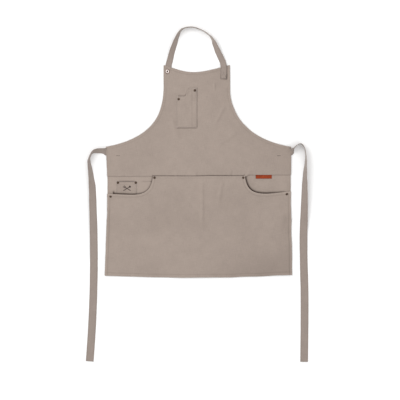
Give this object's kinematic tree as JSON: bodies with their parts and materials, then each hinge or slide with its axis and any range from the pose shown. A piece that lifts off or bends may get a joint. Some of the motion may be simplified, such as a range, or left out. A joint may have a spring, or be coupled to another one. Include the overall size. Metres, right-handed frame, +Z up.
{
  "type": "bib apron",
  "caption": "Canvas bib apron laid flat, front up: lapped waist seam, scoop side pockets, pen and coin pockets, a buttoned neck strap and two waist ties that fold.",
  "frame": {"origin": "middle of the waist seam, on the surface the apron lies on", "axes": "+Z up out of the apron's front, +Y from the hem to the bib, +X to the wearer's left side, the right side seen from the front"},
  "size_m": [0.8678, 1.3053, 0.03],
  "materials": {
    "canvas_cloth": "heavy taupe cotton canvas, matt",
    "lining_cloth": "plain light cotton, matt",
    "strap_cloth": "folded and stitched taupe canvas, matt",
    "label_leather": "smooth tan leather",
    "antique_copper": "antique copper, dark",
    "button_metal": "polished nickel with a warm tone"
  },
  "bodies": {
    "skirt": {"skirt_panel": "canvas_cloth", "bib_lower_panel": "canvas_cloth", "waist_binding": "lining_cloth", "coin_pocket": "canvas_cloth", "left_pocket_facing": "canvas_cloth", "left_pocket_bag_back": "lining_cloth", "left_pocket_bag_front": "lining_cloth", "left_armhole_tape_end": "lining_cloth", "left_tie_sewn_end": "strap_cloth", "left_scoop_top_rivet_cap": "antique_copper", "left_scoop_top_rivet_back": "antique_copper", "left_scoop_side_rivet_cap": "antique_copper", "left_scoop_side_rivet_back": "antique_copper", "right_pocket_facing": "canvas_cloth", "right_pocket_bag_back": "lining_cloth", "right_pocket_bag_front": "lining_cloth", "right_armhole_tape_end": "lining_cloth", "right_tie_sewn_end": "strap_cloth", "right_scoop_top_rivet_cap": "antique_copper", "right_scoop_top_rivet_back": "antique_copper", "right_scoop_side_rivet_cap": "antique_copper", "right_scoop_side_rivet_back": "antique_copper", "coin_left_rivet_cap": "antique_copper", "coin_left_rivet_back": "antique_copper", "coin_right_rivet_cap": "antique_copper", "coin_right_rivet_back": "antique_copper"},
    "bib": {"bib_panel": "canvas_cloth", "neckline_facing": "lining_cloth", "left_armhole_tape": "lining_cloth", "right_armhole_tape": "lining_cloth", "pen_pocket": "canvas_cloth", "pen_low_rivet_cap": "antique_copper", "pen_low_rivet_back": "antique_copper", "pen_high_rivet_cap": "antique_copper", "pen_high_rivet_back": "antique_copper", "neck_strap_button_end": "strap_cloth", "neck_strap_sewn_end": "strap_cloth", "neck_button_tack": "antique_copper"},
    "neck_loop": {"neck_strap_loop": "strap_cloth"},
    "neck_button": {"neck_button_cap": "button_metal"},
    "left_tie": {"left_tie": "strap_cloth"},
    "right_tie": {"right_tie": "strap_cloth"},
    "label": {"seam_label": "label_leather"}
  },
  "joints": [
    {"name": "bib_fold", "type": "hinge", "parent": "skirt", "child": "bib", "pos_m": [0, 0.15, 0.0033], "axis": [1, 0, 0], "range_deg": [0, 145]},
    {"name": "neck_loop_fold", "type": "hinge", "parent": "bib", "child": "neck_loop", "pos_m": [0, 0.437, 0.0048], "axis": [1, 0, 0], "range_deg": [0, 150]},
    {"name": "neck_button_swivel", "type": "hinge", "parent": "bib", "child": "neck_button", "pos_m": [-0.121, 0.409, 0.005], "axis": [0, 0, 1], "continuous": true},
    {"name": "left_tie_fold", "type": "hinge", "parent": "skirt", "child": "left_tie", "pos_m": [-0.365, 0.0955, 0.0024], "axis": [0, 1, 0], "range_deg": [0, 100]},
    {"name": "right_tie_fold", "type": "hinge", "parent": "skirt", "child": "right_tie", "pos_m": [0.365, 0.0955, 0.0024], "axis": [0, -1, 0], "range_deg": [0, 90]},
    {"name": "label_flip", "type": "hinge", "parent": "skirt", "child": "label", "pos_m": [0.2545, 0.0048, 0.0035], "axis": [-1, 0, 0], "range_deg": [0, 150]}
  ]
}
